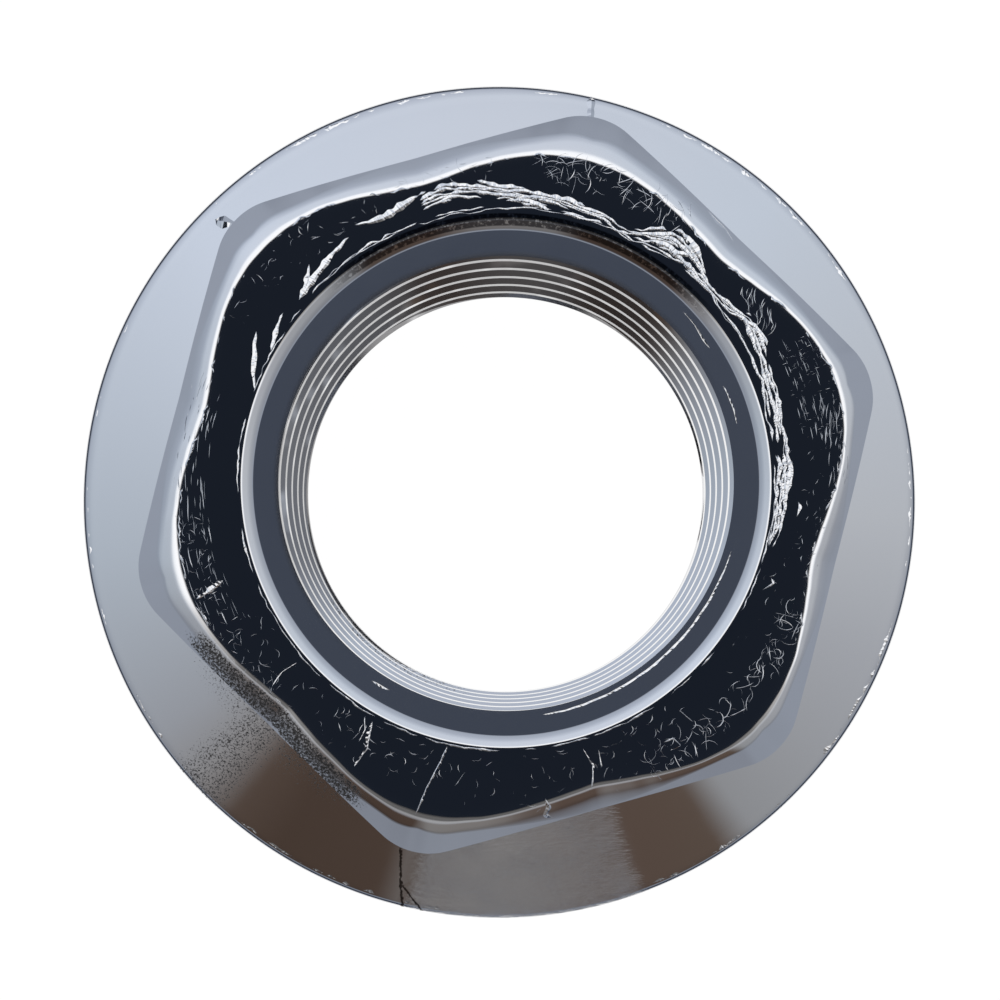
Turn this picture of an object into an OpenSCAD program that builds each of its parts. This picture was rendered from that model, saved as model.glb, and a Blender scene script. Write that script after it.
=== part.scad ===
// A flywheel nut forged in one piece: a hexagon with rolled upper edges stands on a round,
// sloping flange, and a tapped bore runs through both, countersunk at each end.
// The bearing face lies on z = 0 and the bore's axis is Z. The thread is an M14 x 1.5.

/* [Bore] */
// Diameter of the bore at the crests of the thread
bore_d = 12.5; // [12.38:0.02:12.66]
// Depth of the 45 degree countersink in the bearing face
seat_countersink = 1; // [0.4:0.1:1.4]
// Depth of the 45 degree countersink in the top face
top_countersink = 0.8; // [0.6:0.1:1]
// Radius that rounds the countersink over into the top face
lip_radius = 0.45; // [0.1:0.05:0.6]

/* [Hexagon] */
// Height from the bearing face to the top face
nut_height = 9.6; // [8.4:0.2:12]
// Width across the flats
across_flats = 18.7; // [18.4:0.1:19]
// Radius of the six upright corners
corner_radius = 2.1; // [1.3:0.1:2.6]
// Radius of the rolled edge between a flat and the top face
flat_roll = 1.1; // [0.6:0.1:1.2]
// Radius of the rolled edge between a corner and the top face
crown_roll = 1.6; // [0.8:0.1:1.8]
// Distance by which the crown's roll would end outside the corners
crown_margin = 0.06; // [0.02:0.02:0.2]
// Radius of the hollow fillet where the hexagon meets the flange
foot_radius = 0.8; // [0.3:0.1:1.2]
// Turn of the first corner from the X axis, in degrees
hex_turn = 15.8; // [0:0.2:60]

/* [Flange] */
// Diameter of the flange at its rim
flange_d = 26.3; // [25.4:0.1:28]
// Height at which the sloping face and the rim would meet
rim_height = 1.3; // [1:0.1:1.8]
// Slope of the flange's upper face, in degrees
flange_slope = 18; // [12:1:22]
// Radius that rounds the upper edge of the rim
rim_radius = 0.3; // [0.1:0.05:0.4]
// Width of the 45 degree chamfer under the rim
rim_chamfer = 0.2; // [0.1:0.05:0.4]
// Distance by which the rim stands off the bore's axis
rim_runout = 0.26; // [0:0.02:0.4]
// Direction in which the rim stands off, in degrees
rim_runout_turn = 222; // [0:1:359]

/* [Hidden] */
$fn = 96;
sides = 6;
side_angle = 360 / sides;
past = 1;
bore_r = bore_d / 2;
apothem = across_flats / 2;
corner_centre_r = (apothem - corner_radius) / cos(side_angle / 2);
corner_reach = corner_centre_r + corner_radius;
half_flat = corner_centre_r * sin(side_angle / 2);
flange_r = flange_d / 2;
thread_top = nut_height - top_countersink;
foot_turn = 50;
foot_run = foot_radius * (1 - cos(foot_turn));
foot_drop = foot_radius * sin(foot_turn);
foot_base = rim_height / 2;
cap_r = apothem - corner_radius;

// Height of the flange's sloping face at a distance from its own axis
function slope_height(r) = rim_height + (flange_r - r) * tan(flange_slope);

foot_edge = slope_height(apothem + foot_run);
foot_top = foot_edge + foot_drop;
foot_reach = foot_run + (foot_edge - foot_base) * tan(foot_turn);

// Section of the hexagon outwards from x = 0 to a wall at x = wall: a hollow fillet at the
// foot of the wall, and a rolled edge at its head
module wall_section(wall) {
    difference() {
        union() {
            polygon([
                [0, foot_base],
                [wall + foot_reach, foot_base],
                [wall + foot_run, foot_edge],
                [wall, foot_top],
                [wall, nut_height - flat_roll],
                [wall - flat_roll, nut_height],
                [0, nut_height]
            ]);
            translate([wall - flat_roll, nut_height - flat_roll])
                intersection() {
                    circle(r = flat_roll);
                    square(flat_roll);
                }
        }
        translate([wall + foot_radius, foot_top]) circle(r = foot_radius);
    }
}

// A bar as wide as the flats are apart and as long as one flat
module flat_to_flat(turn) {
    rotate([90, 0, turn])
        linear_extrude(height = 2 * half_flat, center = true)
            union() {
                wall_section(apothem);
                mirror([1, 0]) wall_section(apothem);
            }
}

// The wedge that turns the wall round one corner of the hexagon
module corner(turn) {
    rotate([0, 0, turn])
        translate([corner_centre_r, 0, 0])
            rotate([0, 0, -side_angle / 2])
                rotate_extrude(angle = side_angle)
                    wall_section(corner_radius);
}

// The hexagon: three bars that cross, and six turned corners
module hexagon() {
    for (i = [0 : sides / 2 - 1])
        flat_to_flat(hex_turn + (i + 0.5) * side_angle);
    for (i = [0 : sides - 1])
        corner(hex_turn + i * side_angle);
}

// What is turned off the six corners, to crown them over into the top face
module crown_cut() {
    crown_r = corner_reach + crown_margin;
    crown_centre = [crown_r - crown_roll, nut_height - crown_roll];
    rotate_extrude()
        difference() {
            polygon([
                [crown_r, crown_centre[1]],
                [crown_r + past, crown_centre[1]],
                [crown_r + past, nut_height + past],
                [crown_centre[0], nut_height + past],
                [crown_centre[0], nut_height]
            ]);
            translate(crown_centre) circle(r = crown_roll);
        }
}

// The round flange with its sloping upper face, out of true with the bore
module flange() {
    rim_turn = 90 - flange_slope;
    rim_top = rim_height - rim_radius * tan(rim_turn / 2);
    rim_centre = [flange_r - rim_radius, rim_top];
    rotate([0, 0, rim_runout_turn])
        translate([rim_runout, 0, 0])
            rotate_extrude()
                union() {
                    polygon([
                        [0, 0],
                        [flange_r - rim_chamfer, 0],
                        [flange_r, rim_chamfer],
                        [flange_r, rim_top],
                        rim_centre + rim_radius * [sin(flange_slope), cos(flange_slope)],
                        [cap_r, slope_height(cap_r)],
                        [0, slope_height(cap_r)]
                    ]);
                    translate(rim_centre) circle(r = rim_radius);
                }
}

// What the bore, its two countersinks and the rounded lip take away
module bore() {
    lip_tangent = lip_radius * tan(45 / 2);
    lip_outer = bore_r + top_countersink + lip_tangent;
    lip_centre = [lip_outer, nut_height - lip_radius];
    rotate_extrude()
        difference() {
            polygon([
                [0, -past],
                [bore_r + seat_countersink + past, -past],
                [bore_r, seat_countersink],
                [bore_r, thread_top],
                lip_centre + lip_radius * [-sin(45), cos(45)],
                [lip_outer, nut_height],
                [lip_outer, nut_height + past],
                [0, nut_height + past]
            ]);
            translate(lip_centre) circle(r = lip_radius);
        }
}

module nut() {
    color([0.74, 0.77, 0.82])
        difference() {
            union() {
                flange();
                hexagon();
            }
            crown_cut();
            bore();
        }
}

nut();
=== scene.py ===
"""The flywheel nut as it looks: a bright plated flange nut seen from just above, on a pale floor."""

import math

import bmesh
import bpy
import numpy as np
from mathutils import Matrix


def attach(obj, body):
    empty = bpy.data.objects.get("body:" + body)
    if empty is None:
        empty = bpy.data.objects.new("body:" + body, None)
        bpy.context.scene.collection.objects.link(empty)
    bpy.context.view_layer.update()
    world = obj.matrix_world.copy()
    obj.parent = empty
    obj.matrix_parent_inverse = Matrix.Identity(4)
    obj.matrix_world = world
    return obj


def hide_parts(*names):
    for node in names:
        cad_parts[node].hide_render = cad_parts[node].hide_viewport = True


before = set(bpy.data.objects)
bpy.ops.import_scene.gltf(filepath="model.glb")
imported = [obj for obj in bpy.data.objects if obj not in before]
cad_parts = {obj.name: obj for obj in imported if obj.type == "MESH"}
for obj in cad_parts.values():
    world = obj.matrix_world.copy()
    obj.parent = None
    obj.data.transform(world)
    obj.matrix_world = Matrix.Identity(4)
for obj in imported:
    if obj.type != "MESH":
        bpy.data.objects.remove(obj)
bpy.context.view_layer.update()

# Sizes of the nut, in millimetres, as its solid has them
MM = 0.001
NUT_HEIGHT = 9.6
APOTHEM = 18.7 / 2
CORNER_RADIUS = 2.1
FOOT_RADIUS = 0.8
FOOT_TURN = math.radians(50)
HEX_TURN = math.radians(15.8)
SIDE_ANGLE = math.pi / 3
HALF_SIDE = SIDE_ANGLE / 2
FLANGE_R = 26.3 / 2
RIM_HEIGHT = 1.3
RIM_RADIUS = 0.3
RIM_CHAMFER = 0.2
RIM_INSET = 0.006
SLOPE = math.radians(18)
RUNOUT = 0.26
RUNOUT_TURN = math.radians(222)
BORE_R = 12.5 / 2
SEAT_COUNTERSINK = 1.0
TOP_COUNTERSINK = 0.8
LIP_RADIUS = 0.45
THREAD_TOP = NUT_HEIGHT - TOP_COUNTERSINK

# Radius, from the rim's own axis, at which the flange's sloping face begins
FACE_R = FLANGE_R - RIM_RADIUS + RIM_RADIUS * math.sin(SLOPE)

# The worn bevel round the rim, from the outside inwards: inset, and drop below the flange's face
RIM_BEVEL = (
    (0.004, 0.135), (0.012, 0.105), (0.025, 0.090), (0.060, 0.064),
    (0.095, 0.040), (0.115, 0.026), (0.14, 0.014),
)

# The lip round the upper countersink, from the top face inwards: slopes in degrees, and runs
LIP_STEPS = ((7, 0.03), (14, 0.03), (19, 0.03), (24, 0.05), (27, 0.07), (30, 0.07), (33, 0.07), (35, 0.01))

# The thread, M14 x 1.5, right-handed: the flat crest and root are shares of the pitch, its start is a
# share of a turn, and the rows of a flank lie at shares of its depth
PITCH = 1.5
THREAD_DEPTH = 0.75
THREAD_TURN = 0.35
CREST_SHARE = 0.25
ROOT_SHARE = 0.16
FLANK_DEPTHS = (0, 0.05, 0.14, 0.55, 1)

# Heights over which the thread fades out at its two ends, and how much it wavers, as a share of a turn
THREAD_FADE_BELOW = 0.5
THREAD_FADE_ABOVE = 0.45
THREAD_WAVER = 0.006

# The upper edge of the hexagon's wall, a little inside the wall's foot
EDGE_APOTHEM = 18.4 / 2
EDGE_CORNER_RADIUS = 1.8
EDGE_FLARE = 1.3

# The shoulders and the crowned corners, with slopes in degrees. The crease is the line inside the edge
# where the crown's even cone begins; the powers say how fast things change from a flat to a corner.
SHOULDER_RADIUS = 2.1
TOP_SLOPE = 9
EDGE_SLOPE = 31
CREASE_SLOPE = 22
CREASE_RUN = 0.713
CREASE_POWER = 1.6
CREASE_SLOPE_POWER = 0.8
SHOULDER_POWER = 1.7
CORNER_BROW_SHARE = 0.6

# Columns of the mesh round the nut, and the distance from an edge to the row that keeps it crisp
COLUMNS = 590
EDGE_GAP = 0.02
ROW_GAP = 0.03

# Edges that bend by more degrees than this are shown sharp, on the outside and in the thread
SHARP_ANGLE = 32
THREAD_SHARP_ANGLE = 5

# Lengths in metres below which two points of the mesh are one, and an edge is dropped
SAME_PLACE = 1e-7
NO_LENGTH = 1e-8

# The photograph's camera: place in millimetres, lean in degrees, focal length in picture widths, and the
# nearest and farthest distances that it sees, in metres
CAMERA_PLACE = (-0.134, -2.263, 58.727)
CAMERA_LEAN = (2.04, 0.034, 0.0)
FOCAL_SHARE = 1.8213
SENSOR_WIDTH = 36.0
CLIP_DISTANCES = (0.002, 10.0)


def smooth_step(low, high, value):
    """0 below low, 1 above high, and an even S between them."""
    t = np.clip((value - low) / (high - low), 0.0, 1.0)
    return t * t * (3.0 - 2.0 * t)


def lerp(a, b, t):
    """The value a share t of the way from a to b."""
    return a + (b - a) * t


def grid_noise(x, y, seed, scale=1.0):
    """Smooth noise, -1 to 1, that changes over one unit divided by the scale."""
    size = 128
    shift = 400.5
    grid = np.random.default_rng(seed).uniform(-1, 1, (size, size))
    x, y = np.broadcast_arrays(np.asarray(x) * scale + shift, np.asarray(y) * scale + shift)
    column, row = np.floor(x).astype(int), np.floor(y).astype(int)
    u, v = x - column, y - row
    u, v = u * u * (3 - 2 * u), v * v * (3 - 2 * v)
    c0, c1, r0, r1 = column % size, (column + 1) % size, row % size, (row + 1) % size
    near = grid[r0, c0] * (1 - u) + grid[r0, c1] * u
    far = grid[r1, c0] * (1 - u) + grid[r1, c1] * u
    return near * (1 - v) + far * v


def ring_noise(theta, size, seed, scale):
    """Smooth noise along a circle of the given size, so that it meets itself after one turn."""
    return grid_noise(size * np.cos(theta), size * np.sin(theta), seed, scale=scale)


def link_piece(name, mesh):
    """A new object that shows a mesh."""
    piece = bpy.data.objects.new(name, mesh)
    bpy.context.scene.collection.objects.link(piece)
    return piece


# Camera


def make_camera():
    """The camera that sees the nut as the photograph does."""
    data = bpy.data.cameras.new("camera")
    data.sensor_width = SENSOR_WIDTH
    data.lens = SENSOR_WIDTH * FOCAL_SHARE
    data.clip_start, data.clip_end = CLIP_DISTANCES
    camera = bpy.data.objects.new("camera", data)
    camera.location = [v * MM for v in CAMERA_PLACE]
    camera.rotation_euler = [math.radians(v) for v in CAMERA_LEAN]
    bpy.context.scene.collection.objects.link(camera)
    bpy.context.scene.camera = camera


make_camera()

# The outline of the hexagon and the rim, as distances from the bore's axis


def flat_angle(theta):
    """Angle from the nearest flat's middle, in radians, -30 to 30 degrees."""
    first = HEX_TURN + HALF_SIDE
    return (theta - first + HALF_SIDE) % SIDE_ANGLE - HALF_SIDE


def corner_share(theta):
    """0 in the middle of a flat, and 1 at a corner."""
    return np.abs(flat_angle(theta)) / HALF_SIDE


def hexagon_distance(theta, apothem, corner_radius):
    """Distance from the axis to a hexagon with rounded corners."""
    psi = np.abs(flat_angle(theta))
    centre = (apothem - corner_radius) / math.cos(HALF_SIDE)
    half_flat = centre / 2
    tangent = math.atan2(half_flat, apothem)
    delta = HALF_SIDE - psi
    reach = np.sqrt(np.maximum(corner_radius**2 - (centre * np.sin(delta)) ** 2, 0))
    corner = centre * np.cos(delta) + reach
    return np.where(psi <= tangent, apothem / np.cos(psi), corner)


def rim_distance(theta, radius):
    """Distance from the bore's axis to a circle round the rim's own axis."""
    turn = theta - RUNOUT_TURN
    return RUNOUT * np.cos(turn) + np.sqrt(radius**2 - (RUNOUT * np.sin(turn)) ** 2)


def cone_height(theta, distance):
    """Height of the flange's sloping face at a distance from the bore's axis."""
    own = np.sqrt(distance**2 + RUNOUT**2 - 2 * distance * RUNOUT * np.cos(theta - RUNOUT_TURN))
    return RIM_HEIGHT + (FLANGE_R - own) * math.tan(SLOPE)


# Where the top's slope has turned into the shoulder, at each flat's middle and at each corner, and how
# far that line wanders in long and in short waves
TOP_AT_FLATS = (8.42, 8.42, 8.40, 8.42, 8.45, 8.53)
TOP_AT_CORNERS = (9.34, 9.04, 9.17, 9.07, 9.18, 9.37)
LOBE_POWER = 1.6
LONG_WOBBLE = 0.02
SHORT_WOBBLE = 0.012


def top_distance(theta):
    """Distance from the axis to the brow, the line with a lobe at each corner where the shoulder begins."""
    lobe = np.sin(corner_share(theta) * math.pi / 2) ** LOBE_POWER
    sides = (theta - HEX_TURN) / SIDE_ANGLE
    reach = np.array(TOP_AT_CORNERS)[np.round(sides).astype(int) % 6]
    base = np.array(TOP_AT_FLATS)[np.floor(sides).astype(int) % 6]
    wobble = LONG_WOBBLE * ring_noise(theta, 3, seed=1, scale=2.2)
    wobble += SHORT_WOBBLE * ring_noise(theta, 9, seed=2, scale=2.5)
    return base + (reach - base) * lobe + wobble


def top_shape(theta):
    """Distances to where the flat top ends, the brow, the crease and the edge, and the crease's slope."""
    share = corner_share(theta)
    edge = hexagon_distance(theta, EDGE_APOTHEM, EDGE_CORNER_RADIUS)
    brow = top_distance(theta)
    brow_run = SHOULDER_RADIUS * math.sin(math.radians(TOP_SLOPE))
    start = brow - brow_run * lerp(1.0, CORNER_BROW_SHARE, share)
    crease = edge - CREASE_RUN * share**CREASE_POWER
    slope = np.radians(lerp(EDGE_SLOPE, CREASE_SLOPE, share**CREASE_SLOPE_POWER))
    return start, brow, crease, edge, slope


def bend_drop(share, run, low, high, power):
    """How far a face drops by a share of its run, as its gradient goes from low to high."""
    rest = (1 - share) ** (power + 1)
    return run * (low * share + (high - low) * (share + (rest - 1) / (power + 1)))


def top_height(theta, r):
    """Height of the top face, its shoulders and its crowned corners."""
    start, brow, crease, edge, slope = top_shape(theta)
    gradient = math.tan(math.radians(TOP_SLOPE))
    power = lerp(SHOULDER_POWER, 1.0, corner_share(theta))
    first = np.clip((r - start) / (brow - start), 0, 1)
    second = np.clip((r - brow) / (crease - brow), 0, 1)
    drop = bend_drop(first, brow - start, 0.0, gradient, 1.0)
    drop = drop + bend_drop(second, crease - brow, gradient, np.tan(slope), power)
    drop = drop + np.maximum(r - crease, 0) * math.tan(math.radians(EDGE_SLOPE))
    return NUT_HEIGHT - drop


# Rows of the mesh, each a pair of arrays: distance from the bore's axis, and height


def rim_rows(theta):
    """The chamfer under the rim, its upright side, and the worn bevel above."""
    zero = 0 * theta
    chamfer_foot = FLANGE_R - RIM_CHAMFER
    side = FLANGE_R - RIM_INSET
    rows = [
        (rim_distance(theta, chamfer_foot - ROW_GAP), zero),
        (rim_distance(theta, chamfer_foot + EDGE_GAP), zero + EDGE_GAP),
        (rim_distance(theta, side - EDGE_GAP), zero + RIM_CHAMFER - ROW_GAP),
    ]
    side_top = RIM_HEIGHT - RIM_RADIUS * math.tan((math.pi / 2 - SLOPE) / 2)
    for z in np.linspace(RIM_CHAMFER + ROW_GAP, side_top - 2 * EDGE_GAP, 4):
        rows.append((rim_distance(theta, side), zero + z))
    face_height = RIM_HEIGHT + (FLANGE_R - FACE_R) * math.tan(SLOPE)
    for inset, drop in RIM_BEVEL:
        rows.append((rim_distance(theta, FLANGE_R - inset), zero + face_height - drop))
    return rows


def flange_rows(theta, wall):
    """The sloping face, then the hollow fillet up to the hexagon's wall."""
    face_rows, fillet_rows = 13, 7
    outer = rim_distance(theta, FACE_R)
    foot_run = FOOT_RADIUS * (1 - math.cos(FOOT_TURN))
    foot_edge = RIM_HEIGHT + (FLANGE_R - APOTHEM - foot_run) * math.tan(SLOPE)
    foot_top = foot_edge + FOOT_RADIUS * math.sin(FOOT_TURN)
    turn = math.pi / 2 - SLOPE
    run, rise = 1 - math.cos(turn), math.sin(turn)
    fillet = (foot_top - cone_height(theta, wall)) / (rise - run * math.tan(SLOPE))
    edge = wall + run * fillet
    rows = []
    for t in np.linspace(0, 1, face_rows + 1)[1:]:
        r = lerp(outer, edge, t)
        rows.append((r, cone_height(theta, r)))
    edge_height = cone_height(theta, edge)
    for t in np.linspace(turn, 0, fillet_rows + 1)[1:]:
        r = wall + fillet * (1 - math.cos(t))
        rows.append((r, foot_top - (foot_top - edge_height) * math.sin(t) / rise))
    return rows, foot_top


def hexagon_rows(theta, wall, foot_top):
    """The upright wall, and the shoulders and crowned corners up to the flat top."""
    start, brow, crease, edge, _ = top_shape(theta)
    edge_height = top_height(theta, edge)
    flare_foot = edge_height - EDGE_FLARE
    rows = []
    for t in (0.35, 0.7, 1.0):
        rows.append((wall, lerp(foot_top, flare_foot, t)))
    rows.append((lerp(wall, edge, 0.5), flare_foot + EDGE_FLARE / 2))
    radii = [lerp(crease, edge, t) for t in (1.0, 0.7, 0.35, 0.04)]
    radii += [lerp(brow, crease, t) for t in np.linspace(1, 0, 9)]
    radii += [lerp(start, brow, t) for t in (0.75, 0.5, 0.25, 0)]
    for r in radii:
        rows.append((r, top_height(theta, r)))
    return rows, start


def top_rows(theta, top):
    """The flat top, the bevelled lip and the upper countersink."""
    zero = 0 * theta
    flat_rows = 11
    lip_outer = BORE_R + TOP_COUNTERSINK + LIP_RADIUS * math.tan(math.pi / 8)
    rows = []
    for t in np.linspace(0, 1, flat_rows + 1)[1:]:
        rows.append((lerp(top, lip_outer, t), zero + NUT_HEIGHT))
    drop = 0.0
    r = lip_outer
    for slope, run in LIP_STEPS:
        drop += run * math.tan(math.radians(slope))
        r -= run
        rows.append((zero + r, zero + NUT_HEIGHT - drop))
    for t in (0.05, 0.3, 0.6, 0.85):
        rows.append((zero + lerp(r, BORE_R, t), zero + lerp(NUT_HEIGHT - drop, THREAD_TOP, t)))
    return rows


def thread_rows(theta):
    """Rows that follow the helix from the upper countersink down to the lower one."""
    flank = (1 - CREST_SHARE - ROOT_SHARE) / 2
    turn_nodes = [(CREST_SHARE + flank * d, d) for d in FLANK_DEPTHS]
    turn_nodes += [(1 - flank * d, d) for d in reversed(FLANK_DEPTHS)]
    low, high = SEAT_COUNTERSINK, THREAD_TOP
    turns = int(math.ceil((high - low) / PITCH)) + 1
    waver = grid_noise(np.degrees(theta), 5, 71, scale=0.12) * np.sin(theta / 2)
    lead = theta / (2 * math.pi) + THREAD_WAVER * waver
    rows = []
    for turn in range(turns, -1, -1):
        for place, depth in reversed(turn_nodes):
            z = low + PITCH * (turn - 2 + place + lead + THREAD_TURN)
            z = np.clip(z, low, high)
            fade = smooth_step(low, low + THREAD_FADE_BELOW, z)
            fade = fade * smooth_step(0, THREAD_FADE_ABOVE, high - z)
            rows.append((BORE_R + THREAD_DEPTH * depth * fade, z))
    return rows, len(turn_nodes)


def seat_rows(theta):
    """The lower countersink and the flat bearing face, out to the rim's chamfer."""
    zero = 0 * theta
    mouth = BORE_R + SEAT_COUNTERSINK
    rows = []
    for t in np.linspace(0, 1, 4)[1:-1]:
        rows.append((zero + lerp(BORE_R, mouth, t), zero + SEAT_COUNTERSINK * (1 - t)))
    rows.append((zero + mouth - EDGE_GAP, zero + EDGE_GAP))
    rows.append((zero + mouth + ROW_GAP, zero))
    outer = rim_distance(theta, FLANGE_R - RIM_CHAMFER - ROW_GAP)
    for t in np.linspace(0, 1, 5)[1:-1]:
        rows.append((lerp(mouth, outer, t), zero))
    return rows


def mark_sharp_edges(bm):
    """Edges are smooth unless they bend a lot, and in the thread unless they bend a little."""
    near = 0.01
    for edge in bm.edges:
        spot = (edge.verts[0].co + edge.verts[1].co) / 2 / MM
        in_bore = spot.xy.length < BORE_R + THREAD_DEPTH + near
        in_thread = in_bore and spot.z < THREAD_TOP + near
        limit = THREAD_SHARP_ANGLE if in_thread else SHARP_ANGLE
        edge.smooth = edge.calc_face_angle(0.0) < math.radians(limit)


def build_nut():
    """The whole nut as one closed mesh, made of rows that run round it."""
    theta = np.arange(COLUMNS) * 2 * math.pi / COLUMNS
    wall = hexagon_distance(theta, APOTHEM, CORNER_RADIUS)
    flange, foot_top = flange_rows(theta, wall)
    hexagon, top = hexagon_rows(theta, wall, foot_top)
    thread, per_turn = thread_rows(theta)
    outside = rim_rows(theta) + flange + hexagon + top_rows(theta, top)
    rows = outside + thread + seat_rows(theta)
    first_thread = len(outside)
    last_thread = first_thread + len(thread) - 1
    r = np.array([row[0] for row in rows])
    z = np.array([row[1] for row in rows])
    points = np.stack([r * np.cos(theta), r * np.sin(theta), z], axis=2) * MM
    count = len(rows)

    bm = bmesh.new()
    verts = [[bm.verts.new(points[i, j]) for j in range(COLUMNS)] for i in range(count)]

    def partner(i, j):
        """The vertex one column on; past the seam, a thread row is one turn higher."""
        if j + 1 < COLUMNS:
            return verts[i][j + 1]
        if first_thread <= i <= last_thread:
            return verts[max(i - per_turn, first_thread)][0]
        return verts[i][0]

    for i in range(count):
        k = (i + 1) % count
        for j in range(COLUMNS):
            corners = [verts[i][j], partner(i, j), partner(k, j), verts[k][j]]
            kept = list(dict.fromkeys(corners))
            if len(kept) > 2 and not bm.faces.get(kept):
                bm.faces.new(kept)
    bmesh.ops.remove_doubles(bm, verts=bm.verts, dist=SAME_PLACE)
    bmesh.ops.dissolve_degenerate(bm, dist=NO_LENGTH, edges=bm.edges)
    bmesh.ops.recalc_face_normals(bm, faces=bm.faces)
    mark_sharp_edges(bm)
    mesh = bpy.data.meshes.new("nut_body")
    bm.to_mesh(mesh)
    bm.free()
    mesh.polygons.foreach_set("use_smooth", [True] * len(mesh.polygons))
    return link_piece("nut_body", mesh)


# Raised marks: torn burrs, scratches and nicks, each a low closed ridge along a path

# How far in mm a ridge's two feet lie below the surface, and its underside below its feet
FOOT_DEPTH = 0.001
UNDERSIDE_DEPTH = 0.03

# How far a ridge's crest strays, as a share of the width, and how much its height changes, as a share
CREST_STRAY = 0.25
CREST_CHANGE = 0.8

# Length in mm over which a ridge narrows at its ends, and the share of its width that is left there
END_RUN = 0.10
END_SHARE = 0.12


def shown_parts(shown):
    """Where each stretch of three or more shown points begins, and where it has ended."""
    first = 0
    for i in range(1, len(shown) + 1):
        if i == len(shown) or shown[i] != shown[first]:
            if shown[first] and i - first > 2:
                yield first, i
            first = i


class Ridges:
    """Collects low closed ridges that lie on a surface of the nut."""

    def __init__(self, seed):
        self.mesh = bmesh.new()
        self.draw = np.random.default_rng(seed)

    def add(self, turns, radii, widths, height_at, slopes, jag):
        """One ridge along turns in degrees and radii in mm, with a slope towards and away from the axis."""
        theta = np.radians(turns)
        path = np.stack([radii * np.cos(theta), radii * np.sin(theta)], axis=1)
        along = np.gradient(path, axis=0)
        across = np.stack([along[:, 1], -along[:, 0]], axis=1)
        across /= np.maximum(np.linalg.norm(across, axis=1), 1e-9)[:, None]
        if np.sum(across * path) < 0:
            across = -across
        inward, outward = [math.tan(math.radians(v)) for v in slopes]
        share = outward / (inward + outward)
        stray = CREST_STRAY * (self.draw.random(len(theta)) - 0.5) * jag
        change = CREST_CHANGE * jag * (self.draw.random(len(theta)) - 0.5)
        peak = widths * share * inward * (1 + change)
        foot = 0 * peak - FOOT_DEPTH
        underside = foot - UNDERSIDE_DEPTH
        lines = ((-share, foot), (stray, peak), (1 - share, foot), (stray, underside))
        rings = []
        for offset, lift in lines:
            spots = path + across * (widths * offset)[:, None]
            r = np.hypot(spots[:, 0], spots[:, 1])
            z = height_at(np.arctan2(spots[:, 1], spots[:, 0]), r) + lift
            rings.append([(a * MM, b * MM, c * MM) for (a, b), c in zip(spots, z)])
        verts = [[self.mesh.verts.new(p) for p in ring] for ring in rings]
        count, sides = len(theta), len(lines)
        for i in range(sides):
            k = (i + 1) % sides
            for j in range(count - 1):
                self.mesh.faces.new((verts[i][j], verts[k][j], verts[k][j + 1], verts[i][j + 1]))
        self.mesh.faces.new([ring[0] for ring in reversed(verts)])
        self.mesh.faces.new([ring[count - 1] for ring in verts])

    def line(self, points, height_at, step=0.04, slopes=(20, 11), jag=0.5, sway=0.0):
        """A ridge through a few points, each a turn in degrees, a radius and a width in mm."""
        turns, radii, widths = [np.array(v, dtype=float) for v in zip(*points)]
        gaps = np.hypot(np.radians(np.diff(turns)) * radii[1:], np.diff(radii))
        along = np.concatenate([[0], np.cumsum(gaps)])
        length = along[-1]
        places = np.linspace(0, length, max(3, int(length / step)))
        ends = np.clip(np.minimum(places, length - places) / END_RUN, END_SHARE, 1)
        key = self.draw.uniform(0, 100)
        radii = np.interp(places, along, radii) + sway * grid_noise(places, key, 31, scale=4.0)
        change = 1 + jag * grid_noise(places, key, 32, scale=6.0)
        widths = np.interp(places, along, widths) * ends * change
        self.add(np.interp(places, along, turns), radii, widths, height_at, slopes, jag)

    def broken_line(self, turns, radii, widths, shown, height_at, **looks):
        """A ridge along each shown stretch of a line."""
        for first, last in shown_parts(shown):
            part = list(zip(turns[first:last], radii[first:last], widths[first:last]))
            self.line(part, height_at, **looks)

    def piece(self, name):
        """All ridges so far, as one object."""
        bmesh.ops.recalc_face_normals(self.mesh, faces=self.mesh.faces)
        mesh = bpy.data.meshes.new(name)
        self.mesh.to_mesh(mesh)
        self.mesh.free()
        return link_piece(name, mesh)


# The torn burr on the top face: turn, radius and width along its outer line, its inner line, and the
# strokes that stand apart from them
BURR_OUTER = (
    (-14, 7.32, 0.05), (-6, 7.42, 0.12), (0, 7.48, 0.14), (10, 7.53, 0.12), (20, 7.62, 0.12),
    (28, 7.78, 0.16), (34, 7.85, 0.16), (37, 7.66, 0.10), (44, 7.60, 0.10), (50, 7.76, 0.22),
    (55, 7.88, 0.26), (60, 7.66, 0.14), (64, 7.47, 0.08), (68, 7.55, 0.12), (74, 7.58, 0.18),
    (82, 7.68, 0.20), (90, 7.76, 0.16), (96, 7.92, 0.20), (102, 8.02, 0.22), (107, 7.92, 0.16),
)
BURR_INNER = (
    (-14, 7.26, 0.04), (0, 7.28, 0.09), (12, 7.32, 0.10), (22, 7.42, 0.10), (30, 7.50, 0.10),
    (38, 7.42, 0.06), (48, 7.55, 0.10), (56, 7.50, 0.08), (64, 7.38, 0.06), (72, 7.42, 0.08),
    (80, 7.45, 0.06), (92, 7.40, 0.06), (104, 7.42, 0.06), (116, 7.40, 0.07), (126, 7.36, 0.05),
    (136, 7.32, 0.04),
)
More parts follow.
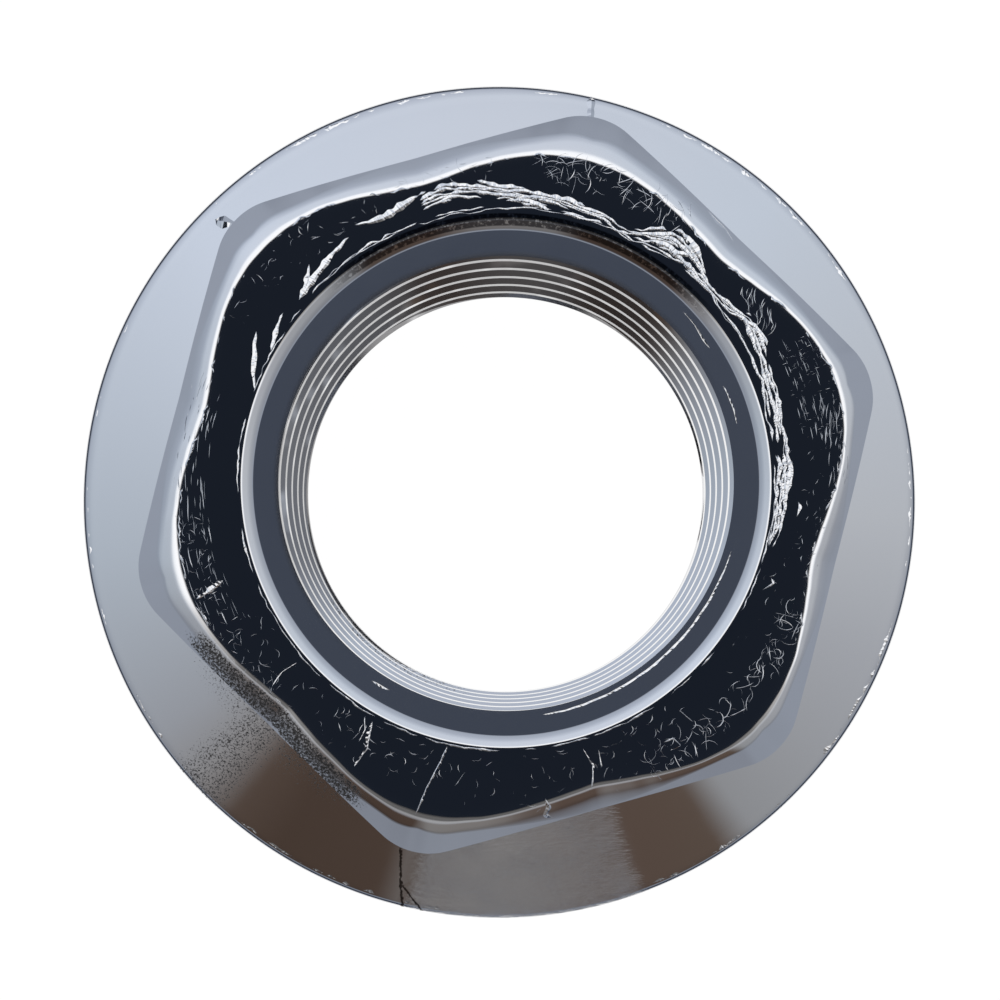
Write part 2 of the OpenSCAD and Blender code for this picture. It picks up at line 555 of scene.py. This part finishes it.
BURR_STROKES = (
    ((107, 8.10, 0.10), (111, 7.96, 0.22), (115, 7.86, 0.20), (118, 7.92, 0.10), (120.6, 8.08, 0.03)),
    ((122.8, 7.87, 0.05), (128.7, 7.69, 0.14), (133.8, 7.55, 0.24), (137, 7.50, 0.16), (138.8, 7.46, 0.06)),
    ((132.2, 7.96, 0.03), (133.5, 7.78, 0.12), (135, 7.62, 0.16), (138, 7.49, 0.08)),
    ((143, 7.58, 0.05), (147, 7.42, 0.12), (151, 7.28, 0.05)),
    ((149, 7.90, 0.04), (154, 7.56, 0.14), (160, 7.24, 0.06)),
    ((28, 8.05, 0.04), (32, 7.92, 0.12), (35, 7.70, 0.08)),
    ((49, 8.02, 0.05), (53, 7.72, 0.14), (57, 7.60, 0.06)),
    ((95, 7.72, 0.05), (101, 7.86, 0.10), (107, 7.70, 0.06)),
)


# For each of the two lines: its points, the seed of its noise, and the places of its strands, as shares
# of its width
BURR_LINES = (
    (BURR_OUTER, 21, (-0.9, -0.55, -0.2, 0.1, 0.45, 0.8, 1.3)),
    (BURR_INNER, 22, (-0.3, 0.4)),
)

# How far in mm a strand drifts, its share of the line's width with what noise adds to it, and the noise
# below which it breaks off, with what is added for a strand out to one side
STRAND_DRIFT = 0.05
STRAND_SHARE = 0.45
STRAND_CHANGE = 0.3
STRAND_BREAK = -0.55
STRAND_BREAK_ASIDE = 0.5


def smooth_path(points, step):
    """The same path in even steps of its turn, with its corners rounded off."""
    turns, radii, widths = [np.array(v, dtype=float) for v in zip(*points)]
    fine = np.arange(turns[0], turns[-1] + step / 2, step)
    kernel = np.array([1, 3, 4, 3, 1]) / 12
    pads = [np.pad(np.interp(fine, turns, v), 2, mode="edge") for v in (radii, widths)]
    radii, widths = [np.convolve(v, kernel, mode="valid") for v in pads]
    return fine, radii, widths


def add_burr(ridges):
    """Torn strands along the burr's two lines, with gaps, and its strokes."""
    for points, seed, spreads in BURR_LINES:
        turns, radii, widths = smooth_path(points, step=0.5)
        for strand, spread in enumerate(spreads):
            drift = STRAND_DRIFT * grid_noise(turns, strand * 5, seed, scale=0.25)
            level = grid_noise(turns, strand * 7, seed + 40, scale=0.22)
            strand_radii = radii + spread * widths + drift
            strand_widths = widths * (STRAND_SHARE + STRAND_CHANGE * level)
            shown = level > STRAND_BREAK + STRAND_BREAK_ASIDE * abs(spread)
            ridges.broken_line(
                turns, strand_radii, strand_widths, shown, top_height, step=0.025, jag=0.7, sway=0.045
            )
    for points in BURR_STROKES:
        ridges.line(points, top_height, step=0.03, jag=0.4, sway=0.02)


# Families of fine scratches on the top face: turns, radii, how many, lengths, lean from the radius in
# degrees with its spread, and the most that one bends, in radians
SCRATCHES = (
    ((8, 26), (8.1, 9.25), 110, (0.05, 0.16), (0, 8), 0.1),
    ((8, 26), (8.1, 9.2), 60, (0.12, 0.4), (90, 3), 0.1),
    ((0, 14), (8.7, 9.3), 40, (0.15, 0.5), (80, 12), 0.4),
    ((29, 39), (8.0, 8.5), 34, (0.2, 0.5), (50, 25), 1.2),
    ((55, 84), (8.2, 9.0), 110, (0.10, 0.60), (45, 90), 1.0),
    ((92, 150), (8.0, 8.9), 90, (0.04, 0.30), (60, 90), 1.0),
    ((160, 206), (8.0, 9.0), 110, (0.10, 0.6), (89, 5), 0.15),
    ((186, 222), (8.2, 9.0), 150, (0.05, 0.25), (60, 90), 0.5),
    ((206, 262), (7.4, 8.6), 90, (0.05, 0.35), (30, 90), 1.2),
    ((262, 344), (7.4, 8.9), 110, (0.04, 0.30), (30, 90), 1.2),
    ((296, 336), (8.2, 8.9), 110, (0.10, 0.55), (40, 90), 1.4),
    ((344, 366), (7.5, 8.9), 60, (0.04, 0.2), (50, 60), 0.8),
)

# The least and the greatest width of a fine scratch, in mm
SCRATCH_WIDTHS = (0.008, 0.026)


def add_scratches(ridges):
    """The families of fine scratches, each scratch drawn at random within its family's ranges."""
    draw = ridges.draw
    for turns, radii, count, lengths, (lean_middle, lean_spread), most_bend in SCRATCHES:
        for _ in range(count):
            turn, r = draw.uniform(*turns), draw.uniform(*radii)
            length = draw.uniform(*lengths)
            lean = math.radians(lean_middle + draw.uniform(-1, 1) * lean_spread)
            bend = draw.uniform(-1, 1) * most_bend
            width = draw.uniform(*SCRATCH_WIDTHS)
            points = []
            for t in np.linspace(-0.5, 0.5, 5):
                angle = lean + bend * t
                across = length * t * math.sin(angle)
                points.append((turn + math.degrees(across / r), r + length * t * math.cos(angle), width))
            ridges.line(points, top_height, step=0.05, jag=0.3)


# Longer scratches, listed one by one: turn, radius and width of each point
LONG_SCRATCHES = (
    ((221, 7.45, 0.03), (220.5, 7.9, 0.03), (221.3, 8.4, 0.02)),
    ((241, 7.42, 0.05), (241.5, 7.7, 0.09), (242.5, 8.1, 0.08), (242, 8.7, 0.05)),
    ((239, 7.36, 0.02), (240.5, 7.7, 0.03), (240.6, 8.05, 0.02)),
    ((257.5, 7.3, 0.04), (256.8, 7.8, 0.06), (255.5, 8.5, 0.05), (254.8, 9.3, 0.04)),
    ((262, 7.9, 0.02), (260.5, 8.3, 0.02)),
    ((199.4, 8.1, 0.08), (200.4, 8.5, 0.14), (200.9, 8.95, 0.06)),
    ((277, 8.6, 0.05), (277.6, 8.85, 0.14), (276.8, 9.05, 0.12), (277.8, 9.15, 0.04)),
    ((286, 7.5, 0.03), (287, 8.0, 0.04), (285.5, 8.6, 0.03)),
    ((289, 7.6, 0.02), (288.4, 8.1, 0.03)),
    ((301, 8.2, 0.03), (303, 8.25, 0.05), (303.4, 8.5, 0.04), (301.2, 8.5, 0.02)),
    ((307, 7.7, 0.02), (307.8, 8.2, 0.03)),
    ((353, 7.9, 0.04), (355, 7.96, 0.08), (356, 7.9, 0.03)),
    ((337, 7.5, 0.03), (339, 7.7, 0.05), (340, 7.6, 0.02)),
)


def add_long_scratches(ridges):
    """The longer scratches, on the top face and its shoulders."""
    for points in LONG_SCRATCHES:
        ridges.line(points, top_height, step=0.03, jag=0.5, sway=0.02)


def add_lip_nicks(ridges):
    """A broken fine line where the lip meets the flat top, on the side without the burr."""
    turns = np.arange(140, 350, 0.35)
    middle = 7.25
    radii = middle + 0.02 * grid_noise(turns, 2, 81, scale=0.7)
    level = grid_noise(turns, 6, 82, scale=0.3)
    widths = 0.02 + 0.035 * np.clip(level, 0, 1)
    ridges.broken_line(turns, radii, widths, level > -0.25, top_height, step=0.04, jag=0.6, sway=0.02)


def add_brow_nicks(ridges):
    """Torn specks just inside the edge of the flat top."""
    turns = np.arange(-32, 208, 0.3)
    inset = 0.05
    radii = top_distance(np.radians(turns)) - inset + 0.05 * grid_noise(turns, 2, 91, scale=1.1)
    level = grid_noise(turns, 6, 92, scale=0.75)
    widths = 0.02 + 0.05 * np.clip(level, 0, 1)
    ridges.broken_line(turns, radii, widths, level > 0.05, top_height, step=0.03, jag=0.7, sway=0.03)


def add_rim_nicks(ridges):
    """A broken bright line just inside the rim, with fewer gaps on two busy stretches."""
    turns = np.arange(0, 360, 0.35)
    inset = 0.175
    radii = rim_distance(np.radians(turns), FLANGE_R - inset) + 0.02 * grid_noise(turns, 3, 61, scale=0.5)
    level = grid_noise(turns, 9, 62, scale=0.22) + 0.5 * grid_noise(turns, 4, 63, scale=1.1)
    busy = smooth_step(190, 197, turns) * smooth_step(252, 245, turns)
    busy += smooth_step(280, 287, turns) * smooth_step(350, 343, turns)
    widths = 0.05 + 0.10 * np.clip(level, 0, 1)
    shown = level + 0.6 * busy > -0.20
    ridges.broken_line(
        turns, radii, widths, shown, cone_height, step=0.05, slopes=(7.5, 20), jag=0.6, sway=0.02
    )


# Two drips of plating on the flange, each beyond a corner, and a nick on a shoulder
FLANGE_DRIPS = (
    ((76.4, 11.3, 0.90), (76.5, 11.65, 0.85), (76.8, 11.9, 0.45), (77.2, 12.2, 0.25), (77.4, 12.5, 0.20),
     (77.6, 12.75, 0.32), (77.8, 12.9, 0.10)),
    ((134.9, 11.62, 0.08), (135.1, 11.89, 0.14), (135.6, 12.17, 0.26), (136.1, 12.36, 0.44),
     (136.5, 12.50, 0.34), (136.7, 12.62, 0.08)),
)
SHOULDER_NICK = ((53.6, 9.24, 0.03), (51, 9.16, 0.07), (49, 9.14, 0.06), (46.5, 9.02, 0.02))

# Marks on the slope of the upper countersink
BORE_MARKS = (
    ((279, 6.42, 0.03), (295, 6.40, 0.05), (315, 6.40, 0.06), (335, 6.41, 0.04), (343, 6.43, 0.02)),
    ((14, 6.50, 0.02), (19, 6.52, 0.04), (24, 6.49, 0.02)),
    ((33, 6.66, 0.02), (36, 6.62, 0.05), (40, 6.70, 0.03), (44, 6.69, 0.02)),
    ((236, 6.52, 0.03), (239, 6.50, 0.05), (241, 6.49, 0.02)),
)


def bore_height(theta, r):
    """Height of the upper countersink's slope, the same all the way round."""
    return THREAD_TOP + (r - BORE_R)


def add_bore_marks(ridges):
    """The marks on the upper countersink."""
    for points in BORE_MARKS:
        ridges.line(points, bore_height, step=0.05, slopes=(60, 32), jag=0.3, sway=0.01)


def add_drips(ridges):
    """The two drips on the flange, and the nick on the shoulder."""
    for points in FLANGE_DRIPS:
        ridges.line(points, cone_height, step=0.05, slopes=(15, 18), jag=0.12, sway=0.01)
    ridges.line(SHOULDER_NICK, top_height, step=0.03, slopes=(5, 25), jag=0.5)


# Materials


def new_material(name):
    """A new material, its node tree and its main shader."""
    material = bpy.data.materials.new(name)
    material.use_nodes = True
    tree = material.node_tree
    shader = tree.nodes["Principled BSDF"]
    return material, tree, shader


def add_math(tree, operation, first, second=None, clamp=False):
    """The result of one operation on one or two values, each a socket or a plain number."""
    node = tree.nodes.new("ShaderNodeMath")
    node.operation = operation
    node.use_clamp = clamp
    for socket, value in zip(node.inputs, (first, second)):
        if value is None:
            continue
        if isinstance(value, (int, float)):
            socket.default_value = value
        else:
            tree.links.new(value, socket)
    return node.outputs[0]


def add_step(tree, value, low, high):
    """0 at low and 1 at high, with a smooth S between; low may be the larger."""
    node = tree.nodes.new("ShaderNodeMapRange")
    node.interpolation_type = "SMOOTHSTEP"
    tree.links.new(value, node.inputs["Value"])
    node.inputs["From Min"].default_value = low
    node.inputs["From Max"].default_value = high
    return node.outputs["Result"]


def add_band(tree, value, low, high, soft):
    """1 between two values and 0 outside them."""
    rise = add_step(tree, value, low - soft, low)
    fall = add_step(tree, value, high + soft, high)
    return add_math(tree, "MULTIPLY", rise, fall)


def add_noise(tree, vector, scale, detail=2.0, rough=0.5):
    """Soft noise about 0.5; the scale is in waves to a millimetre."""
    node = tree.nodes.new("ShaderNodeTexNoise")
    node.inputs["Scale"].default_value = scale
    node.inputs["Detail"].default_value = detail
    node.inputs["Roughness"].default_value = rough
    tree.links.new(vector, node.inputs["Vector"])
    return node.outputs["Fac"]


def add_mix(tree, factor, first, second, blend="MIX"):
    """A colour that goes from the first to the second; either may be a socket or plain values."""
    node = tree.nodes.new("ShaderNodeMixRGB")
    node.blend_type = blend
    tree.links.new(factor, node.inputs["Fac"])
    for name, value in (("Color1", first), ("Color2", second)):
        if isinstance(value, tuple):
            node.inputs[name].default_value = (*value, 1)
        else:
            tree.links.new(value, node.inputs[name])
    return node.outputs["Color"]


def product(tree, *values):
    """All the values multiplied together."""
    result = values[0]
    for value in values[1:]:
        result = add_math(tree, "MULTIPLY", result, value)
    return result


# Colours of the metal: clean, in the darker patches over the thread on one side, shaded by the burr, and
# dirty
CLEAN_METAL = (0.78, 0.78, 0.79)
DARK_PATCH_COLOUR = (0.30, 0.295, 0.30)
SHADED = (0.14, 0.14, 0.15)
GRIME = (0.10, 0.092, 0.085)

# Where the marks in the metal lie: turns in degrees, radii and heights in mm. Two numbers are where a
# mark begins and where it is full. Three are its two bounds and how softly it ends.
PLACES = {
    "dark_patches": (("radius", 7.08, 7.0), ("height", 8.95, 8.8), ("turn", 55, 195, 40)),
    "lip shade": (("turn", 50, 122, 14), ("radius", 6.98, 7.26, 0.04), ("height", 8.9, 9.0)),
    "crack": (("turn", 254.85, 255.1, 0.12), ("radius", 11.4, 11.6), ("height", 3.0, 2.9)),
    "branch": (("turn", 253.0, 253.25, 0.12), ("radius", 12.6, 12.7), ("height", 3.0, 2.9)),
    "above the rim's side": (("height", 1.0, 1.1),),
    "flange grime": (("turn", 221.5, 226, 4), ("height", 3.4, 3.2)),
    "foot grime": (("turn", 214, 252, 10), ("radius", 11.3, 10.6), ("height", 3.4, 3.2)),
    "shoulder grime": (("turn", 209, 243, 5), ("height", 9.30, 9.52, 0.04), ("radius", 7.8, 7.9)),
    "rough patch": (("turn", 259, 287, 4), ("radius", 9.6, 10.0), ("height", 3.6, 3.4)),
    "top": (("height", 9.3, 9.5),),
}

# The crack and its branch: the radius at which their turns are given, how much noise adds to their turns,
# and how far each leans, in degrees to a millimetre
CRACK_RADIUS = 12.1
CRACK_WANDER = 1.2
CRACK_LEANS = (("crack", 1.27), ("branch", 5.0))

# How strong the grime at the foot is beside the flange's. Then, for the flange and the shoulder: how much
# grime adds to the dots' noise, the noise that shows as a dot, and the grime needed for any dot.
FOOT_GRIME_SHARE = 0.8
FLANGE_DOTS = (0.13, (0.62, 0.74), (0.02, 0.2))
SHOULDER_DOTS = (0.22, (0.60, 0.76), (0.02, 0.3))

# Noise above which the thread's darker patches, the lip's shade and the top's specks begin and are full
DARK_PATCH_NOISE = (0.2, 0.45)
LIP_SHADE_NOISE = (0.28, 0.50)
SPECK_NOISE = (0.74, 0.80)

# Roughness of the clean metal, what slow noise adds to it, and what each kind of mark adds
CLEAN_ROUGHNESS = 0.03
SLOW_ROUGHNESS = 0.06
SPECK_ROUGHNESS = 0.35
GRIME_ROUGHNESS = 0.4
PATCH_ROUGHNESS = 0.16
DARK_PATCH_ROUGHNESS = 0.15

# Relief: heights of the grain and of the patch's furrows, how much finer the furrows are across than
# along, and the strength and depth in metres of the whole
GRAIN_HEIGHT = 0.0012
FURROW_HEIGHT = 3.0
FURROW_STRETCH = (0.6, 2.4, 1.0)
BUMP_STRENGTH = 0.25
BUMP_DISTANCE = 0.00004


def add_place(tree):
    """The place on the nut, in mm: the whole vector, the radius, the height, and the turn in degrees."""
    coords = tree.nodes.new("ShaderNodeTexCoord")
    place = tree.nodes.new("ShaderNodeVectorMath")
    place.operation = "SCALE"
    place.inputs["Scale"].default_value = 1 / MM
    tree.links.new(coords.outputs["Object"], place.inputs[0])
    vector = place.outputs[0]
    split = tree.nodes.new("ShaderNodeSeparateXYZ")
    tree.links.new(vector, split.inputs[0])
    x, y, z = split.outputs
    squares = add_math(tree, "ADD", add_math(tree, "POWER", x, 2.0), add_math(tree, "POWER", y, 2.0))
    radius = add_math(tree, "SQRT", squares)
    angle = add_math(tree, "MULTIPLY", add_math(tree, "ARCTAN2", y, x), 180 / math.pi)
    turn = add_math(tree, "FLOORED_MODULO", angle, 360.0)
    return {"vector": vector, "radius": radius, "height": z, "turn": turn}


def add_region(tree, place, name):
    """1 inside one of the named places, and 0 outside it."""
    shares = []
    for measure, *limits in PLACES[name]:
        add_limits = add_band if len(limits) == 3 else add_step
        shares.append(add_limits(tree, place[measure], *limits))
    return product(tree, *shares)


def add_crack(tree, place, fine):
    """1 along the thin crack and its branch on the flange's face."""
    wander = add_math(tree, "MULTIPLY", fine, CRACK_WANDER)
    wandering = add_math(tree, "ADD", place["turn"], wander)
    beyond = add_math(tree, "SUBTRACT", place["radius"], CRACK_RADIUS)
    lines = []
    for name, lean in CRACK_LEANS:
        turn = add_math(tree, "SUBTRACT", wandering, add_math(tree, "MULTIPLY", beyond, lean))
        lines.append(add_region(tree, {**place, "turn": turn}, name))
    crack = add_math(tree, "MAXIMUM", *lines)
    return product(tree, crack, add_region(tree, place, "above the rim's side"))


def add_dots(tree, dots, grime, more, dot_noise, any_grime):
    """Dark dots that stand closer where there is more grime."""
    denser = add_math(tree, "ADD", dots, add_math(tree, "MULTIPLY", grime, more))
    return product(tree, add_step(tree, denser, *dot_noise), add_step(tree, grime, *any_grime))


def add_grime(tree, place):
    """Speckled grime on one side: on the flange, round the hexagon's foot, and on the shoulder."""
    dots = add_noise(tree, place["vector"], 16.0, detail=4.0, rough=0.75)
    foot = add_math(tree, "MULTIPLY", add_region(tree, place, "foot grime"), FOOT_GRIME_SHARE)
    flange = add_math(tree, "MAXIMUM", add_region(tree, place, "flange grime"), foot)
    flange_dots = add_dots(tree, dots, flange, *FLANGE_DOTS)
    shoulder = add_region(tree, place, "shoulder grime")
    shoulder_dots = add_dots(tree, dots, shoulder, *SHOULDER_DOTS)
    return add_math(tree, "MAXIMUM", flange_dots, shoulder_dots)


def add_relief(tree, place, rough_patch, slow):
    """A faint grain all over, and furrows in the rough patch."""
    grain = add_noise(tree, place["vector"], 26.0, detail=2.0)
    streaks = tree.nodes.new("ShaderNodeMapping")
    streaks.inputs["Scale"].default_value = FURROW_STRETCH
    tree.links.new(place["vector"], streaks.inputs["Vector"])
    furrows = add_noise(tree, streaks.outputs[0], 4.0, detail=4.0, rough=0.65)
    furrows = product(tree, furrows, rough_patch, add_math(tree, "MULTIPLY", slow, FURROW_HEIGHT))
    relief = add_math(tree, "ADD", add_math(tree, "MULTIPLY", grain, GRAIN_HEIGHT), furrows)
    bump = tree.nodes.new("ShaderNodeBump")
    bump.inputs["Strength"].default_value = BUMP_STRENGTH
    bump.inputs["Distance"].default_value = BUMP_DISTANCE
    tree.links.new(relief, bump.inputs["Height"])
    return bump.outputs["Normal"]


def plated_steel():
    """Bright zinc plate, faint grain, dark patches on one side of the thread, grime, a crack and a rough
    patch.
    """
    material, tree, shader = new_material("plated_steel")
    place = add_place(tree)
    slow = add_noise(tree, place["vector"], 0.8)
    fine = add_noise(tree, place["vector"], 9.0, detail=4.0, rough=0.7)
    speck_noise = add_noise(tree, place["vector"], 5.0, detail=3.0, rough=0.8)

    # Darker, rougher patches over the thread on one side of the bore
    dark_patches = add_region(tree, place, "dark_patches")
    dark_patches = product(tree, dark_patches, add_step(tree, slow, *DARK_PATCH_NOISE))
    lip_shade = add_region(tree, place, "lip shade")
    lip_shade = product(tree, lip_shade, add_step(tree, fine, *LIP_SHADE_NOISE))
    specks = product(tree, add_step(tree, speck_noise, *SPECK_NOISE), add_region(tree, place, "top"))
    rough_patch = add_region(tree, place, "rough patch")
    crack = add_crack(tree, place, fine)
    grime = add_grime(tree, place)

    colour = add_mix(tree, dark_patches, CLEAN_METAL, DARK_PATCH_COLOUR)
    colour = add_mix(tree, lip_shade, colour, SHADED)
    colour = add_mix(tree, add_math(tree, "MAXIMUM", grime, crack), colour, GRIME)
    tree.links.new(colour, shader.inputs["Base Color"])
    shader.inputs["Metallic"].default_value = 1.0

    roughness = add_math(tree, "ADD", add_math(tree, "MULTIPLY", slow, SLOW_ROUGHNESS), CLEAN_ROUGHNESS)
    marks = ((specks, SPECK_ROUGHNESS), (grime, GRIME_ROUGHNESS), (rough_patch, PATCH_ROUGHNESS),
             (dark_patches, DARK_PATCH_ROUGHNESS))
    for mark, more in marks:
        roughness = add_math(tree, "ADD", roughness, add_math(tree, "MULTIPLY", mark, more))
    tree.links.new(roughness, shader.inputs["Roughness"])
    tree.links.new(add_relief(tree, place, rough_patch, slow), shader.inputs["Normal"])
    return material


nut = build_nut()
nut.data.materials.append(plated_steel())
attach(nut, "root")
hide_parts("nut")

ridges = Ridges(7)
add_burr(ridges)
add_scratches(ridges)
add_long_scratches(ridges)
add_rim_nicks(ridges)
add_drips(ridges)
add_bore_marks(ridges)
add_lip_nicks(ridges)
add_brow_nicks(ridges)
marks = ridges.piece("burrs_and_nicks")
marks.data.materials.append(nut.data.materials[0])
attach(marks, "root")

# Stage: a pale floor, and soft light all round from the world

# The floor's half width in metres, and its matt colour
FLOOR_SIZE = 0.6
FLOOR_COLOUR = (0.85, 0.85, 0.85, 1)

# Share of the floor's own white, and how bright it is, in what the camera and the metal see of the floor;
# the rest is lit, and takes the shadow
GLOW_SHARE = 0.94
GLOW_LEVEL = 1.05


def make_floor():
    """A floor that is matt to the light, and nearly white to the camera and in the metal."""
    size = FLOOR_SIZE
    corners = [(-size, -size, 0), (size, -size, 0), (size, size, 0), (-size, size, 0)]
    mesh = bpy.data.meshes.new("floor")
    mesh.from_pydata(corners, [], [(0, 1, 2, 3)])
    floor = link_piece("floor", mesh)
    material, tree, shader = new_material("floor")
    tree.nodes.remove(shader)
    out = tree.nodes["Material Output"]
    diffuse = tree.nodes.new("ShaderNodeBsdfDiffuse")
    diffuse.inputs["Color"].default_value = FLOOR_COLOUR
    glow = tree.nodes.new("ShaderNodeEmission")
    glow.inputs["Strength"].default_value = GLOW_LEVEL
    path = tree.nodes.new("ShaderNodeLightPath")
    seen = add_math(tree, "MAXIMUM", path.outputs["Is Camera Ray"], path.outputs["Is Glossy Ray"])
    seen = add_math(tree, "MAXIMUM", seen, path.outputs["Is Transmission Ray"])
    share = add_math(tree, "MULTIPLY", seen, GLOW_SHARE)
    mix = tree.nodes.new("ShaderNodeMixShader")
    tree.links.new(share, mix.inputs[0])
    tree.links.new(diffuse.outputs[0], mix.inputs[1])
    tree.links.new(glow.outputs[0], mix.inputs[2])
    tree.links.new(mix.outputs[0], out.inputs["Surface"])
    mesh.materials.append(material)


def linear(*shades):
    """A colour given in picture shades, 0 to 255, as linear values."""
    return [((v / 255 + 0.055) / 1.055) ** 2.4 if v > 10 else v / 255 / 12.92 for v in shades]


# The share of light that the metal throws back, so what it mirrors is that much brighter than it looks
METAL_SHARE = 0.78

# What the polished metal mirrors: shades by tilt from the zenith, in degrees
TILT_SHADES = (
    (0, (23, 28, 37)), (27, (25, 30, 39)), (29.5, (252, 252, 253)), (35.5, (246, 249, 253)),
    (39, (200, 207, 218)), (50, (196, 204, 216)), (58, (166, 174, 188)), (66, (150, 158, 171)),
    (76, (145, 152, 165)), (79, (63, 69, 81)), (90, (58, 64, 76)),
)

# Tilts in degrees between which the walls and the lamps begin, are full, begin to fade, and end
WALL_TILTS = (33, 41, 56, 80)
LAMP_TILTS = (26, 28, 34, 39)

# How the walls differ from a plain one round the compass, in degrees from the X axis
WALL_SHADES = (
    (0, (175, 179, 185)), (50, (190, 199, 211)), (90, (196, 203, 215)), (135, (198, 207, 221)),
    (185, (168, 177, 188)), (212, (145, 149, 156)), (221, (132, 131, 132)), (227.5, (78, 66, 59)),
    (236, (68, 56, 49)), (252, (70, 58, 51)), (259, (118, 116, 115)), (278, (116, 112, 110)),
    (288, (82, 69, 62)), (304, (84, 72, 64)), (309, (136, 138, 141)), (340, (158, 161, 167)),
    (360, (175, 179, 185)),
)
PLAIN_WALL = (196, 204, 216)

# How bright the lamps over the nut are round the compass, as a share, and their tint where dimmed
LAMP_SHARES = (
    (0, 1.0), (198, 1.0), (212, 0.45), (222, 0.14), (250, 0.12), (285, 0.12), (318, 0.2), (334, 0.5),
    (342, 1.0), (360, 1.0),
)
DIMMED_TINT = (1, 0.97, 0.94)
WHITE = (1, 1, 1)


def add_ramp(tree, stops, factor):
    """A colour that follows the stops, each a share from 0 to 1 and a colour."""
    ramp = tree.nodes.new("ShaderNodeValToRGB")
    elements = ramp.color_ramp.elements
    elements.remove(elements[-1])
    elements[0].position = stops[0][0]
    elements[0].color = (*stops[0][1], 1)
    for place, colour in stops[1:]:
        element = elements.new(place)
        element.color = (*colour, 1)
    tree.links.new(factor, ramp.inputs[0])
    return ramp.outputs[0]


def tilt_band(tree, tilt_share, low, full, fade, end):
    """1 between the inner two of four tilts in degrees, and 0 beyond the outer two."""
    above = add_math(tree, "SUBTRACT", tilt_share, low / 180)
    below = add_math(tree, "SUBTRACT", end / 180, tilt_share)
    rises = add_math(tree, "MULTIPLY", above, 180 / (full - low), clamp=True)
    falls = add_math(tree, "MULTIPLY", below, 180 / (end - fade), clamp=True)
    return add_math(tree, "MULTIPLY", rises, falls)


def make_world():
    """White to the camera and to matt surfaces, and to the metal a studio with a dark ceiling and lamps."""
    world = bpy.data.worlds.new("studio")
    bpy.context.scene.world = world
    world.use_nodes = True
    tree = world.node_tree
    background = tree.nodes["Background"]
    coords = tree.nodes.new("ShaderNodeTexCoord")
    split = tree.nodes.new("ShaderNodeSeparateXYZ")
    tree.links.new(coords.outputs["Generated"], split.inputs[0])
    tilt = add_math(tree, "ARCCOSINE", split.outputs["Z"])
    tilt_share = add_math(tree, "DIVIDE", tilt, math.pi)
    stops = [(d / 180, [v / METAL_SHARE for v in linear(*c)]) for d, c in TILT_SHADES]
    by_tilt = add_ramp(tree, stops, tilt_share)

    turn = add_math(tree, "ARCTAN2", split.outputs["Y"], split.outputs["X"])
    turn_share = add_math(tree, "FRACT", add_math(tree, "DIVIDE", turn, 2 * math.pi))
    plain = linear(*PLAIN_WALL)
    stops = [(d / 360, [v / p for v, p in zip(linear(*c), plain)]) for d, c in WALL_SHADES]
    by_turn = add_ramp(tree, stops, turn_share)

    stops = [(d / 360, [v * t for t in (DIMMED_TINT if v < 1 else WHITE)]) for d, v in LAMP_SHARES]
    by_lamp = add_ramp(tree, stops, turn_share)
    walls = tilt_band(tree, tilt_share, *WALL_TILTS)
    lamps = tilt_band(tree, tilt_share, *LAMP_TILTS)
    studio = add_mix(tree, walls, by_tilt, by_turn, blend="MULTIPLY")
    studio = add_mix(tree, lamps, studio, by_lamp, blend="MULTIPLY")

    path = tree.nodes.new("ShaderNodeLightPath")
    lit = add_mix(tree, path.outputs["Is Diffuse Ray"], studio, WHITE)
    seen = add_mix(tree, path.outputs["Is Camera Ray"], lit, WHITE)
    tree.links.new(seen, background.inputs["Color"])


make_floor()
make_world()

scene = bpy.context.scene
scene.view_settings.view_transform = "Standard"
